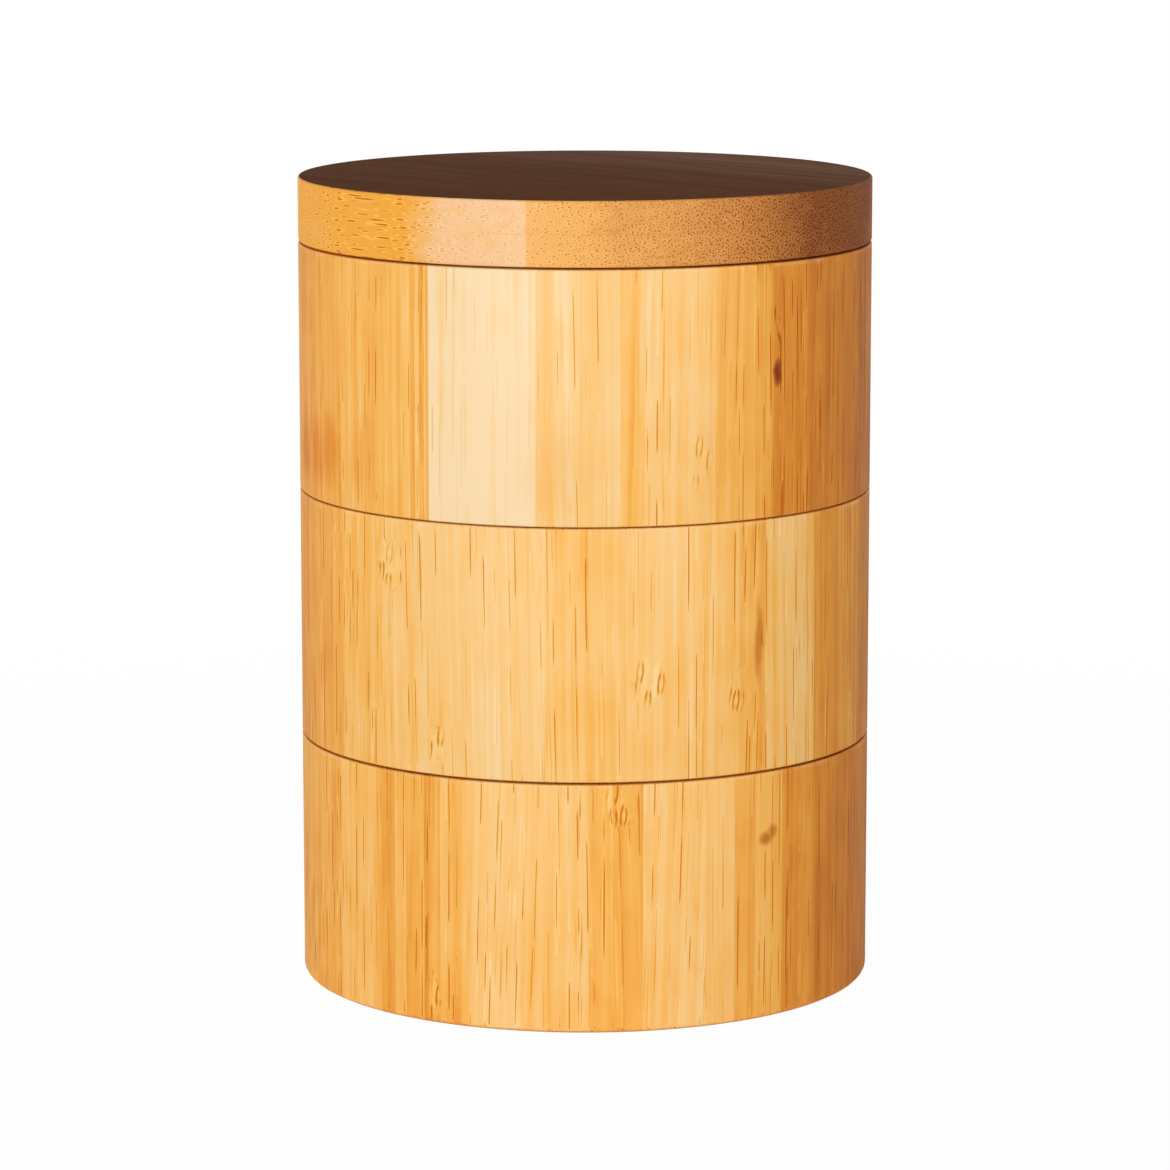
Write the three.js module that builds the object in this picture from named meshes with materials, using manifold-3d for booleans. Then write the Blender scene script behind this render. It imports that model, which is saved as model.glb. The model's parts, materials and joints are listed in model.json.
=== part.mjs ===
// Three-tier swivel spice box in laminated bamboo.
// Millimetres, +Z up, origin at the centre of the base where it meets the table, front towards -Y.
// Three round tiers and a lid turn on one steel rod that stands in their wall at the back.
// Each level swings out sideways about the rod, and a pair of magnets in front holds it shut.

import * as THREE from "three";
import { mergeVertices } from "three/addons/utils/BufferGeometryUtils.js";
import Module from "manifold-3d";

// Bamboo: the outside, the walls and the floors
const tierNames = ["bottom_tier", "middle_tier", "top_tier"];
const boxRadius = 45;
const tierHeight = 38.7;
const lidThickness = 10;
const wallThickness = 11.5;
const floorThickness = 6;
const floorLedge = 1; // how far the wall reaches in over the edge of the glued-in floor
const seam = 0.3; // air between two levels, kept by a thrust washer
const footRounding = 1.2; // lowest outer edge of the box
const edgeRounding = 0.4; // every other outer edge, and the rim of each cavity

// Pivot hardware for a 4 mm rod
const rodRadius = 2;
const rodChamfer = 0.4;
const bushWall = 0.75;
const washerRadius = 4;
const washerRecess = 0.6; // depth of a thrust washer's seat in the rim
const nutRadius = 3.1;
const nutHeight = 4;
const nutSink = 1; // how far the nut lies above the table
const nutSlotWidth = 1;
const nutSlotDepth = 0.8;
const waveThickness = 0.3;
const waveRise = 0.4; // how far the wave washer's crests stand above its troughs
const waveCount = 3;
const insertRadius = 3;
const insertKnurl = 0.25; // depth of the insert's teeth
const insertTeeth = 16;
const lidCover = 2.8; // bamboo left above the insert's blind hole

// Magnets
const magnetRadius = 3;
const magnetThickness = 3;
const magnetRounding = 0.2;

// Clearances
const glueGap = 0.1; // round a piece that is glued or pressed in
const turnGap = 0.1; // round the turning rod
const nutGap = 0.3; // between the nut and the wall of its pocket
const restGap = 0.05; // between two faces that bear on each other

// Facets
const bodySteps = 64;
const hardwareSteps = 24;
const roundingSteps = 2;
const cutOvershoot = 1; // how far a cutting tool runs past the face that it opens

// Places that follow from the sizes above
const cavityRadius = boxRadius - wallThickness;
const floorSeatRadius = cavityRadius + floorLedge;
const pivotOffset = (boxRadius + floorSeatRadius) / 2; // middle of the wood outside the floor
const magnetOffset = pivotOffset;
const levelPitch = tierHeight + seam;
const lidBase = tierNames.length * levelPitch;
const bushRadius = rodRadius + turnGap + bushWall;
const nutPocketRadius = nutRadius + nutGap;
const waveHeight = waveThickness + waveRise;
const nutPocketDepth = nutSink + nutHeight + restGap + waveHeight + restGap;
const insertLength = lidThickness - lidCover;
const rodLength = lidBase + insertLength - nutSink;

const bambooWall = new THREE.MeshStandardMaterial({ color: 0xe6b36a, roughness: 0.45, metalness: 0 });
const bambooFloor = new THREE.MeshStandardMaterial({ color: 0xdca862, roughness: 0.5, metalness: 0 });
const bambooLid = new THREE.MeshStandardMaterial({ color: 0xd9a25a, roughness: 0.45, metalness: 0 });
const steel = new THREE.MeshStandardMaterial({ color: 0xb4b6b8, roughness: 0.35, metalness: 1 });
const nickel = new THREE.MeshStandardMaterial({ color: 0xc9c7c0, roughness: 0.2, metalness: 1 });
const brass = new THREE.MeshStandardMaterial({ color: 0xc9a24b, roughness: 0.35, metalness: 1 });
const nylon = new THREE.MeshStandardMaterial({ color: 0xeae6da, roughness: 0.6, metalness: 0 });

const wasm = await Module();
wasm.setup();

// A closed geometry as a solid that can be cut
function solidOf(geometry) {
  const bare = geometry.clone();
  bare.deleteAttribute("normal");
  bare.deleteAttribute("uv");
  const merged = mergeVertices(bare);
  return new wasm.Manifold(
    new wasm.Mesh({
      numProp: 3,
      vertProperties: merged.getAttribute("position").array,
      triVerts: new Uint32Array(merged.index.array),
    }),
  );
}

// A solid as a geometry again
function geometryOf(solid) {
  const mesh = solid.getMesh();
  const geometry = new THREE.BufferGeometry();
  geometry.setAttribute("position", new THREE.BufferAttribute(mesh.vertProperties, 3));
  geometry.setIndex(new THREE.BufferAttribute(mesh.triVerts, 1));
  geometry.computeVertexNormals();
  return geometry;
}

function cut(geometry, tools) {
  const left = tools.reduce((solid, tool) => solid.subtract(solidOf(tool)), solidOf(geometry));
  return geometryOf(left);
}

// Points along corners given as [radius, height, rounding], each rounding a quarter circle
function roundedOutline(corners) {
  const places = corners.map(([radius, height]) => new THREE.Vector2(radius, height));
  const points = [];
  corners.forEach(([, , rounding = 0], i) => {
    const corner = places[i];
    if (rounding === 0) {
      points.push(corner.clone());
      return;
    }
    const before = places.at(i - 1).clone().sub(corner).setLength(rounding);
    const after = places[(i + 1) % places.length].clone().sub(corner).setLength(rounding);
    const centre = corner.clone().add(before).add(after);
    for (let step = 0; step <= roundingSteps; step++) {
      const turn = ((step / roundingSteps) * Math.PI) / 2;
      points.push(
        centre.clone().addScaledVector(after, -Math.cos(turn)).addScaledVector(before, -Math.sin(turn)),
      );
    }
  });
  return points;
}

// The outline turned about +Z: a solid where it starts and ends on the axis
function turned(corners, steps) {
  return new THREE.LatheGeometry(roundedOutline(corners), steps).rotateX(Math.PI / 2);
}

// A ring: the outline comes back to where it started
function turnedRing(corners, steps) {
  const outline = roundedOutline(corners);
  outline.push(outline[0].clone());
  return new THREE.LatheGeometry(outline, steps).rotateX(Math.PI / 2);
}

function disc(radius, low, high, rounding, steps) {
  return turned([[0, low], [radius, low, rounding], [radius, high, rounding], [0, high]], steps);
}

function sleeve(inner, outer, low, high) {
  return turnedRing([[inner, low], [outer, low], [outer, high], [inner, high]], hardwareSteps);
}

// Cutting tools, at the pivot in the back of the wall and at the magnet in its front
function pivotBore(radius, low, high) {
  return disc(radius, low, high, 0, hardwareSteps).translate(0, pivotOffset, 0);
}

function magnetPocket(low, high) {
  return disc(magnetRadius + glueGap, low, high, 0, hardwareSteps).translate(0, -magnetOffset, 0);
}

function tierWall(isLowest) {
  const ledgeHeight = floorThickness + glueGap;
  const ring = turnedRing(
    [
      [floorSeatRadius, 0],
      [boxRadius, 0, isLowest ? footRounding : edgeRounding],
      [boxRadius, tierHeight, edgeRounding],
      [cavityRadius, tierHeight, edgeRounding],
      [cavityRadius, ledgeHeight],
      [floorSeatRadius, ledgeHeight],
    ],
    bodySteps,
  );
  const magnetDepth = magnetThickness + glueGap;
  const above = tierHeight + cutOvershoot;
  const tools = [
    pivotBore(bushRadius + glueGap, -cutOvershoot, above),
    pivotBore(washerRadius + glueGap, tierHeight - washerRecess, above),
    magnetPocket(tierHeight - magnetDepth, above),
  ];
  if (isLowest) tools.push(pivotBore(nutPocketRadius, -cutOvershoot, nutPocketDepth));
  else tools.push(magnetPocket(-cutOvershoot, magnetDepth));
  return cut(ring, tools);
}

function tierFloor() {
  return disc(floorSeatRadius - glueGap, 0, floorThickness, 0, bodySteps);
}

function tierBush(isLowest) {
  const low = isLowest ? nutPocketDepth : restGap;
  return sleeve(rodRadius + turnGap, bushRadius, low, tierHeight - washerRecess - restGap);
}

// It fills its seat in the rim and carries the level above
function thrustWasher() {
  return sleeve(rodRadius + turnGap, washerRadius, 0, washerRecess + seam);
}

function magnet() {
  return disc(magnetRadius, 0, magnetThickness, magnetRounding, hardwareSteps);
}

function lidPanel() {
  const panel = disc(boxRadius, 0, lidThickness, edgeRounding, bodySteps);
  return cut(panel, [
    pivotBore(insertRadius + glueGap, -cutOvershoot, insertLength + glueGap),
    magnetPocket(-cutOvershoot, magnetThickness + glueGap),
  ]);
}

// A threaded insert with a toothed outside that bites into the lid
function lidInsert() {
  const outline = new THREE.Shape();
  const corners = 2 * insertTeeth;
  for (let i = 0; i < corners; i++) {
    const turn = (i / corners) * 2 * Math.PI;
    const radius = insertRadius - (i % 2) * insertKnurl;
    const point = [radius * Math.cos(turn), radius * Math.sin(turn)];
    if (i === 0) outline.moveTo(...point);
    else outline.lineTo(...point);
  }
  outline.closePath();
  outline.holes.push(new THREE.Path().absarc(0, 0, rodRadius + glueGap, 0, 2 * Math.PI));
  const settings = { depth: insertLength, bevelEnabled: false, curveSegments: hardwareSteps };
  return new THREE.ExtrudeGeometry(outline, settings);
}

function pivotRod() {
  const tip = rodRadius - rodChamfer;
  const outline = [
    [0, 0],
    [tip, 0],
    [rodRadius, rodChamfer],
    [rodRadius, rodLength - rodChamfer],
    [tip, rodLength],
    [0, rodLength],
  ];
  return turned(outline, hardwareSteps);
}

// A round nut with a driver slot across its lower face
function pivotNut() {
  const ring = sleeve(rodRadius + glueGap, nutRadius, 0, nutHeight);
  const slotLength = 2 * (nutRadius + cutOvershoot);
  const slotHeight = nutSlotDepth + cutOvershoot;
  const slot = new THREE.BoxGeometry(slotLength, nutSlotWidth, slotHeight);
  return cut(ring, [slot.translate(0, 0, nutSlotDepth - slotHeight / 2)]);
}

// A thin ring that rises and falls, so that it presses the levels together
function waveWasher() {
  const inner = rodRadius + turnGap;
  const steps = 2 * hardwareSteps;
  const position = [];
  const index = [];
  for (let i = 0; i < steps; i++) {
    const turn = (i / steps) * 2 * Math.PI;
    const low = (waveRise / 2) * (1 + Math.cos(waveCount * turn));
    const high = low + waveThickness;
    for (const [radius, height] of [[inner, low], [nutRadius, low], [nutRadius, high], [inner, high]]) {
      position.push(radius * Math.cos(turn), radius * Math.sin(turn), height);
    }
    for (let side = 0; side < 4; side++) {
      const here = 4 * i;
      const next = 4 * ((i + 1) % steps);
      const other = (side + 1) % 4;
      index.push(here + side, next + other, here + other, here + side, next + side, next + other);
    }
  }
  const ring = new THREE.BufferGeometry();
  ring.setAttribute("position", new THREE.Float32BufferAttribute(position, 3));
  ring.setIndex(index);
  ring.computeVertexNormals();
  return ring;
}

// Adds a named piece to a level's group, at its place in that level
function place(level, name, geometry, material, x, y, z) {
  const mesh = new THREE.Mesh(geometry, material);
  mesh.name = name;
  mesh.position.set(x, y, z);
  level.add(mesh);
}

const spiceBox = new THREE.Group();

tierNames.forEach((tier, i) => {
  const level = new THREE.Group();
  level.position.z = i * levelPitch;
  spiceBox.add(level);
  const isLowest = i === 0;
  const rimMagnetHeight = tierHeight - magnetThickness;
  place(level, `${tier}_wall`, tierWall(isLowest), bambooWall, 0, 0, 0);
  place(level, `${tier}_floor`, tierFloor(), bambooFloor, 0, 0, 0);
  place(level, `${tier}_bush`, tierBush(isLowest), brass, 0, pivotOffset, 0);
  place(level, `${tier}_thrust_washer`, thrustWasher(), nylon, 0, pivotOffset, tierHeight - washerRecess);
  place(level, `${tier}_rim_magnet`, magnet(), nickel, 0, -magnetOffset, rimMagnetHeight);
  if (isLowest) {
    place(level, "wave_washer", waveWasher(), steel, 0, pivotOffset, nutSink + nutHeight + restGap);
  } else {
    place(level, `${tier}_base_magnet`, magnet(), nickel, 0, -magnetOffset, 0);
  }
});

const lid = new THREE.Group();
lid.position.z = lidBase;
spiceBox.add(lid);
place(lid, "lid_panel", lidPanel(), bambooLid, 0, 0, 0);
place(lid, "lid_magnet", magnet(), nickel, 0, -magnetOffset, 0);
place(lid, "lid_insert", lidInsert(), brass, 0, pivotOffset, 0);
place(lid, "pivot_rod", pivotRod(), steel, 0, pivotOffset, nutSink - lidBase);
place(lid, "pivot_nut", pivotNut(), steel, 0, pivotOffset, nutSink - lidBase);

export default spiceBox;
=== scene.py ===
# Spice box of three bamboo tiers and a lid on one steel rod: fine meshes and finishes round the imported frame
import json
import math

import bmesh
import bpy
from mathutils import Matrix, Vector


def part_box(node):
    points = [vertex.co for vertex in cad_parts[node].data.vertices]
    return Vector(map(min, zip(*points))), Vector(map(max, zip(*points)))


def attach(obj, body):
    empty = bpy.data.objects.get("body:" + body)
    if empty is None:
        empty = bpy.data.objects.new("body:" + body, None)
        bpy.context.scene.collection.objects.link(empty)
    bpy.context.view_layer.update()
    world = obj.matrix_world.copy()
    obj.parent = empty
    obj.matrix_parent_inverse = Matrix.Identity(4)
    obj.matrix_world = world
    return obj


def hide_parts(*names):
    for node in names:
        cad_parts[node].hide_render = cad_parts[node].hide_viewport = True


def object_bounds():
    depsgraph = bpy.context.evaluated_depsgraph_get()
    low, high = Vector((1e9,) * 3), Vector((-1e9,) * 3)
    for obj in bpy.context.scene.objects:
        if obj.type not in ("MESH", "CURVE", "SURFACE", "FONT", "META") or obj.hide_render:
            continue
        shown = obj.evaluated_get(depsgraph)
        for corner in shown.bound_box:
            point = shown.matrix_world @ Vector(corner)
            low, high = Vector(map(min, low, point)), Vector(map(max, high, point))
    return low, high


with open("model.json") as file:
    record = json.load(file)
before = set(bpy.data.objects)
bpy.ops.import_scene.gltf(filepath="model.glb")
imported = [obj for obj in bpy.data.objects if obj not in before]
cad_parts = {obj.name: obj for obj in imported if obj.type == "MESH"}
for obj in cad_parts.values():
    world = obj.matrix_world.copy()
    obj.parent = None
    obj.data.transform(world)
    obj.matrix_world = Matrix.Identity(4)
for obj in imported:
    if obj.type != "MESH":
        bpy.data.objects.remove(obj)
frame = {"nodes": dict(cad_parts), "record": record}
cadLow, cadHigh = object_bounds()
print("frame loaded:", len(frame["nodes"]), "nodes")

mm = 0.001
closeBy = 0.02 * mm  # how near a vertex has to be to count as on a ring
smoothBelow = math.radians(32)  # faces that meet at less than this are shaded as one
edgeSegments = 3  # steps in the rounding of a small edge
tierNames = ["bottom_tier", "middle_tier", "top_tier"]
boxRadius = cadHigh.x
pivot = sum(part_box("pivot_rod"), Vector()) / 2
magnetSpot = sum(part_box("lid_magnet"), Vector()) / 2
bodies = frame["record"]["behaviour"]["bodies"]
bodyOf = {node: body for body, nodes in bodies.items() for node in nodes}


# Modelling: a primitive at its size and place, then edit mode, then modifiers
def startCylinder(radius, low, high, sides, spot=(0, 0)):
    bpy.ops.object.select_all(action="DESELECT")
    middle = (spot[0], spot[1], (low + high) / 2)
    bpy.ops.mesh.primitive_cylinder_add(vertices=sides, radius=radius, depth=high - low, location=middle)
    bpy.ops.object.transform_apply(location=True, rotation=False, scale=False)
    return bpy.context.object


# Selects, in the mesh being edited, what has all its vertices where the test says
def pick(kind, test):
    bpy.context.tool_settings.mesh_select_mode = (kind == "VERT", kind == "EDGE", kind == "FACE")
    mesh = bpy.context.edit_object.data
    shape = bmesh.from_edit_mesh(mesh)
    bpy.ops.mesh.select_all(action="DESELECT")
    for part in {"VERT": shape.verts, "EDGE": shape.edges, "FACE": shape.faces}[kind]:
        corners = [part] if kind == "VERT" else part.verts
        part.select_set(all(test(corner.co) for corner in corners))
    shape.select_flush_mode()
    bmesh.update_edit_mesh(mesh)


# Test for a vertex on a level ring round the given spot, at any of the heights
def onRing(heights, radius, spot=(0, 0)):
    def test(co):
        away = math.hypot(co.x - spot[0], co.y - spot[1])
        return abs(away - radius) < closeBy and any(abs(co.z - height) < closeBy for height in heights)
    return test


def roundRing(height, radius, rounding, segments, spot=(0, 0)):
    pick("EDGE", onRing([height], radius, spot))
    bpy.ops.mesh.bevel(offset=rounding, segments=segments, profile=0.5, affect="EDGES")


def cutAway(piece, tool):
    bpy.ops.object.select_all(action="DESELECT")
    bpy.context.view_layer.objects.active = piece
    cut = piece.modifiers.new("cut", "BOOLEAN")
    cut.operation = "DIFFERENCE"
    cut.solver = "EXACT"
    cut.object = tool
    bpy.ops.object.modifier_apply(modifier=cut.name)
    bpy.data.objects.remove(tool)


# Cuts round pockets, each (radius, low, high, spot), out of a piece
def bore(piece, pockets, sides=64):
    for radius, low, high, spot in pockets:
        cutAway(piece, startCylinder(radius, low, high, sides, spot))


# A turned tube: the end faces are inset and opened, the bore is bridged and every edge is broken
def turnTube(outer, inner, low, high, sides, spot, rounding):
    piece = startCylinder(outer, low, high, sides, spot)
    bpy.ops.object.mode_set(mode="EDIT")
    for height in (low, high):
        pick("FACE", onRing([height], outer, spot))
        bpy.ops.mesh.inset(thickness=outer - inner)
        bpy.ops.mesh.delete(type="ONLY_FACE")
    pick("EDGE", onRing([low, high], inner, spot))
    bpy.ops.mesh.bridge_edge_loops()
    for height in (low, high):
        roundRing(height, outer, rounding, edgeSegments, spot)
        roundRing(height, inner, rounding, edgeSegments, spot)
    bpy.ops.object.mode_set(mode="OBJECT")
    return piece


# Smooths what is round, gives the finish and puts the piece on its body in place of its node
def settle(piece, name, node, material):
    bpy.ops.object.select_all(action="DESELECT")
    piece.select_set(True)
    bpy.context.view_layer.objects.active = piece
    bpy.ops.object.shade_smooth_by_angle(angle=smoothBelow)
    piece.name = name
    piece.data.name = name
    piece.data.materials.clear()
    piece.data.materials.append(material)
    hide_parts(node)
    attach(piece, bodyOf[node])
    return piece


# Copies a piece, made at the first of its nodes, to the others; each copy has its own mesh
def settleAlike(piece, ending, nodes, material):
    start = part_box(nodes[0])[0]
    for node in nodes[1:]:
        bpy.ops.object.select_all(action="DESELECT")
        piece.select_set(True)
        bpy.context.view_layer.objects.active = piece
        bpy.ops.object.duplicate()
        bpy.ops.transform.translate(value=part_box(node)[0] - start)
        bpy.ops.object.transform_apply(location=True, rotation=False, scale=False)
        settle(bpy.context.object, node + ending, node, material)
    settle(piece, nodes[0] + ending, nodes[0], material)


# Materials: one function adds a node, sets it and links it
def addNode(tree, kind, inputs={}, **settings):
    made = tree.nodes.new(kind)
    for setting, value in settings.items():
        setattr(made, setting, value)
    for socket, value in inputs.items():
        if isinstance(value, bpy.types.NodeSocket):
            tree.links.new(value, made.inputs[socket])
        else:
            made.inputs[socket].default_value = value
    return made


def linear(hexColour):
    parts = [int(hexColour[i:i + 2], 16) / 255 for i in (1, 3, 5)]
    return [p / 12.92 if p <= 0.04045 else ((p + 0.055) / 1.055) ** 2.4 for p in parts] + [1.0]


def startMaterial(name):
    material = bpy.data.materials.new(name)
    material.use_nodes = True
    return material, material.node_tree, material.node_tree.nodes["Principled BSDF"]


# Laminated bamboo: strips split from the cane, planed, glued side by side and in layers, turned and oiled.
# The eye sees strips of different tone, brown fibre bundles as fine lines that come and go where they dip
# under the surface, dots where they are cut across, and here and there the knotted mark of a cane joint.
bambooLook = dict(
    tones=["#f0d3a6", "#f0c685", "#f1be72", "#f0b256", "#eaa344", "#dc8c2f", "#bf6a20"],
    bundle=(0.66, 0.13, 0.22),    # mm between fibre bundles, and their half thickness in pale and dark strips
    bundleCut=0.24,               # mm, the same thickness where they are cut across
    bundleDash=14.0,              # mm, about how long they stay in the surface
    bundleEven=0.15,              # 0 when their strength is left to chance, 1 when they are all alike
    sheath=0.2,                   # how much paler the wood is right beside them
    hair=(0.6, 0.11),             # hair lines, likewise
    hairDash=26.0,
    sway=(12.0, 40.0, 0.9),       # mm across, mm along and mm far that fibres wander
    cluster=(4.0, 35.0),          # mm, size of the patches with more lines
    grouped=1.0,                  # how much those patches differ in their bundles
    fibre=(0.32, 45.0),           # mm, width and length of the fine streaks
    band=(1.3, 130.0),            # mm, slow change of tone across a strip
    cloud=(7.0, 11.0),
    slant=0.03,                   # most that a strip's grain leans
    stripsApart=(61, 47, 83),     # mm, how far apart the strips' patterns are taken from one pattern
    bend=(2.4, 4.5, 1.6),         # mm across, mm along and mm far that fibres bend at a cane joint
    ragged=(2.5, 2.5, 0.8),       # likewise for the edge of a stain
    brownTint="#e8cc00",          # what a full line leaves of the wood's red, green and blue
    bundleDepth=1.8, hairDepth=0.8, fibreDepth=0.16,  # strength of bundles, hair lines and streaks
    bundleFrom=(0.38, 0.62),      # noise in the patches with the fewest and the most bundles
    bundleSwing=(0.55, 0.3),      # how much weaker and stronger they are there
    hairFrom=0.35,                # noise where hair lines start
    hairFull=(0.66, 0.5),         # noise where all of them show, in strips with few and with many
    hairLeast=0.15,               # what is left of them elsewhere
    netLift=0.1,                  # how much paler the wood is between cut bundles
    lineTones=(0.04, 0.86), paleLines=0.42, darkLines=2.1,  # strength of all lines in pale and in dark strips
    fullLine=1.45,                # most that they brown the wood
    markDepth=2.3,                # strength of the mark of a cane joint
    stroke=(1.5, 6.0),            # mm across and along from stroke to stroke in it
    endTint="#dab98c", endDepth=0.9,  # cut ends
    glueEdge=(0.03, 0.17), layerEdge=(0.02, 0.16),  # mm from the middle of a glue line to where it fades
    bandDepth=0.32, cloudDepth=0.2,  # slow changes of tone
    calmTones=(0.5, 0.85), darkCalm=0.45,  # tones between which they get calmer, and what is left of them
    stainTint="#b08848",          # what a full stain leaves of the wood's colour
    stainTone=0.5,                # how far it darkens the tone
    warmTint="#f5d48a",           # what is left where the cane was riper and more orange
    wornTint="#f4cf98",           # painted highlight on the rounded upper edge
    worn=(0.9, 9.0, 0.3),         # mm deep, mm from patch to patch and most, of that painted highlight
    wornFrom=(0.42, 0.62),        # noise where none and where all of the painted highlight shows
    roughness=0.4, dullLines=0.12, specular=0.22,  # lines are duller than the wood by so much
    bumpStrength=0.5, bumpHeight=0.006 * mm,
)


# The turn that takes the box's axes to a block's own: across the strips, through the layers, along the grain
def layTurn(grain, ply):
    grain, ply = Vector(grain).normalized(), Vector(ply).normalized()
    return Matrix((ply.cross(grain), ply, grain)).to_euler()


# A place in the block counted in widths across the grain and lengths along it
def stretch(tree, place, size):
    return addNode(tree, "ShaderNodeVectorMath", {
        0: place, 1: (1 / size[0], 1 / size[0], 1 / size[1])}, operation="MULTIPLY").outputs[0]


# Moves a place sideways by a slow noise, so that what runs along the grain wanders
def wander(tree, place, sway):
    noise = addNode(tree, "ShaderNodeTexNoise", {
        "Vector": stretch(tree, place, sway), "Scale": 1.0, "Detail": 1.0})
    return addNode(tree, "ShaderNodeVectorMath", {
        0: noise.outputs["Color"], 1: (sway[2], sway[2], 0), 2: place}, operation="MULTIPLY_ADD").outputs[0]


# Rods along the grain that come up and dip: dashes where they lie in the surface, dots at cut ends.
# They count as 1, plain wood as 0 and the sheath round them is below that
rodShape = dict(
    scatter=0.85,      # 0 for an even net of rods, 1 for full chance
    unlike=97.0,       # how far along one noise the rods are spread, so that they dip at different places
    dip=(0.42, 0.56),  # noise at which a rod is all under and all out
    core=0.45,         # how far out its middle is fully dark, and where its sheath ends, in half thicknesses
    rim=1.6,
)


def rods(tree, place, pitch, thick, dash, even, cutEnd, sheath):
    cells = addNode(tree, "ShaderNodeTexVoronoi", {
        "Vector": stretch(tree, place, (pitch, pitch)), "Scale": 1.0, "Randomness": rodShape["scatter"]},
        voronoi_dimensions="2D")
    luck = addNode(tree, "ShaderNodeSeparateColor", {0: cells.outputs["Color"]})
    along = addNode(tree, "ShaderNodeSeparateXYZ", {0: stretch(tree, place, (1, dash))})
    turnOn = addNode(tree, "ShaderNodeMath", {
        0: luck.outputs[1], 1: rodShape["unlike"], 2: along.outputs[2]}, operation="MULTIPLY_ADD")
    rise = addNode(tree, "ShaderNodeTexNoise", {
        "W": turnOn.outputs[0], "Scale": 1.0, "Detail": 0.0}, noise_dimensions="1D")
    shown = addNode(tree, "ShaderNodeMapRange", {
        "Value": rise.outputs[0], "From Min": rodShape["dip"][0], "From Max": rodShape["dip"][1]},
        interpolation_type="SMOOTHSTEP")
    shown = addNode(tree, "ShaderNodeMath", {0: shown.outputs[0], 1: cutEnd}, operation="MAXIMUM")
    share = addNode(tree, "ShaderNodeMath", {0: thick, 1: pitch}, operation="DIVIDE")
    reach = addNode(tree, "ShaderNodeMath", {
        0: share.outputs[0], 1: shown.outputs[0]}, operation="MULTIPLY").outputs[0]
    core = addNode(tree, "ShaderNodeMath", {0: reach, 1: rodShape["core"]}, operation="MULTIPLY")
    rim = addNode(tree, "ShaderNodeMath", {0: reach, 1: rodShape["rim"]}, operation="MULTIPLY")
    dark = addNode(tree, "ShaderNodeMapRange", {
        "Value": cells.outputs["Distance"], "From Min": core.outputs[0], "From Max": reach,
        "To Min": 1.0 + sheath, "To Max": 0.0}, interpolation_type="SMOOTHSTEP")
    pale = addNode(tree, "ShaderNodeMapRange", {
        "Value": cells.outputs["Distance"], "From Min": reach, "From Max": rim.outputs[0],
        "To Min": sheath, "To Max": 0.0}, interpolation_type="SMOOTHSTEP")
    mask = addNode(tree, "ShaderNodeMath", {0: dark.outputs[0], 1: pale.outputs[0]}, operation="SUBTRACT")
    strength = addNode(tree, "ShaderNodeMapRange", {"Value": luck.outputs[0], "To Min": even})
    return addNode(tree, "ShaderNodeMath", {
        0: mask.outputs[0], 1: strength.outputs[0]}, operation="MULTIPLY").outputs[0]


# Patches round the given spots, each (x, y, z, half width, half height, strength) in mm; the strongest counts
patchShape = dict(through=4.0, core=0.25)  # mm that a patch reaches into the wood, and how much of it is full


def patches(tree, place, spots):
    whole = None
    for x, y, z, wide, tall, strength in spots:
        offset = addNode(tree, "ShaderNodeVectorMath", {0: place, 1: (x, y, z)}, operation="SUBTRACT")
        scaled = addNode(tree, "ShaderNodeVectorMath", {
            0: offset.outputs[0], 1: (1 / wide, 1 / patchShape["through"], 1 / tall)}, operation="MULTIPLY")
        far = addNode(tree, "ShaderNodeVectorMath", {0: scaled.outputs[0]}, operation="LENGTH")
        patch = addNode(tree, "ShaderNodeMapRange", {
            "Value": far.outputs["Value"], "From Min": patchShape["core"], "From Max": 1.0,
            "To Min": strength, "To Max": 0.0}, interpolation_type="SMOOTHSTEP").outputs[0]
        if whole:
            patch = addNode(tree, "ShaderNodeMath", {0: whole, 1: patch}, operation="MAXIMUM").outputs[0]
        whole = patch
    return whole


# The mark of a cane joint: the lines stop there, and short leaning strokes in pairs take their place.
# Each pair is the two flanks of a long loop
strokeShape = dict(
    lean=0.1,          # radians
    scatter=0.8,
    loop=0.28,         # size of the loop and width of its line, in steps from stroke to stroke
    line=(0.03, 0.13),
    between=-0.3,      # paler wood round the strokes
    flank=(0.3, 0.7),  # how far to the side of its middle the loop starts to show and shows in full
    drawn=(0.1, 0.5),  # chance below which there is no stroke, and above which it is a full one
)


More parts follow.
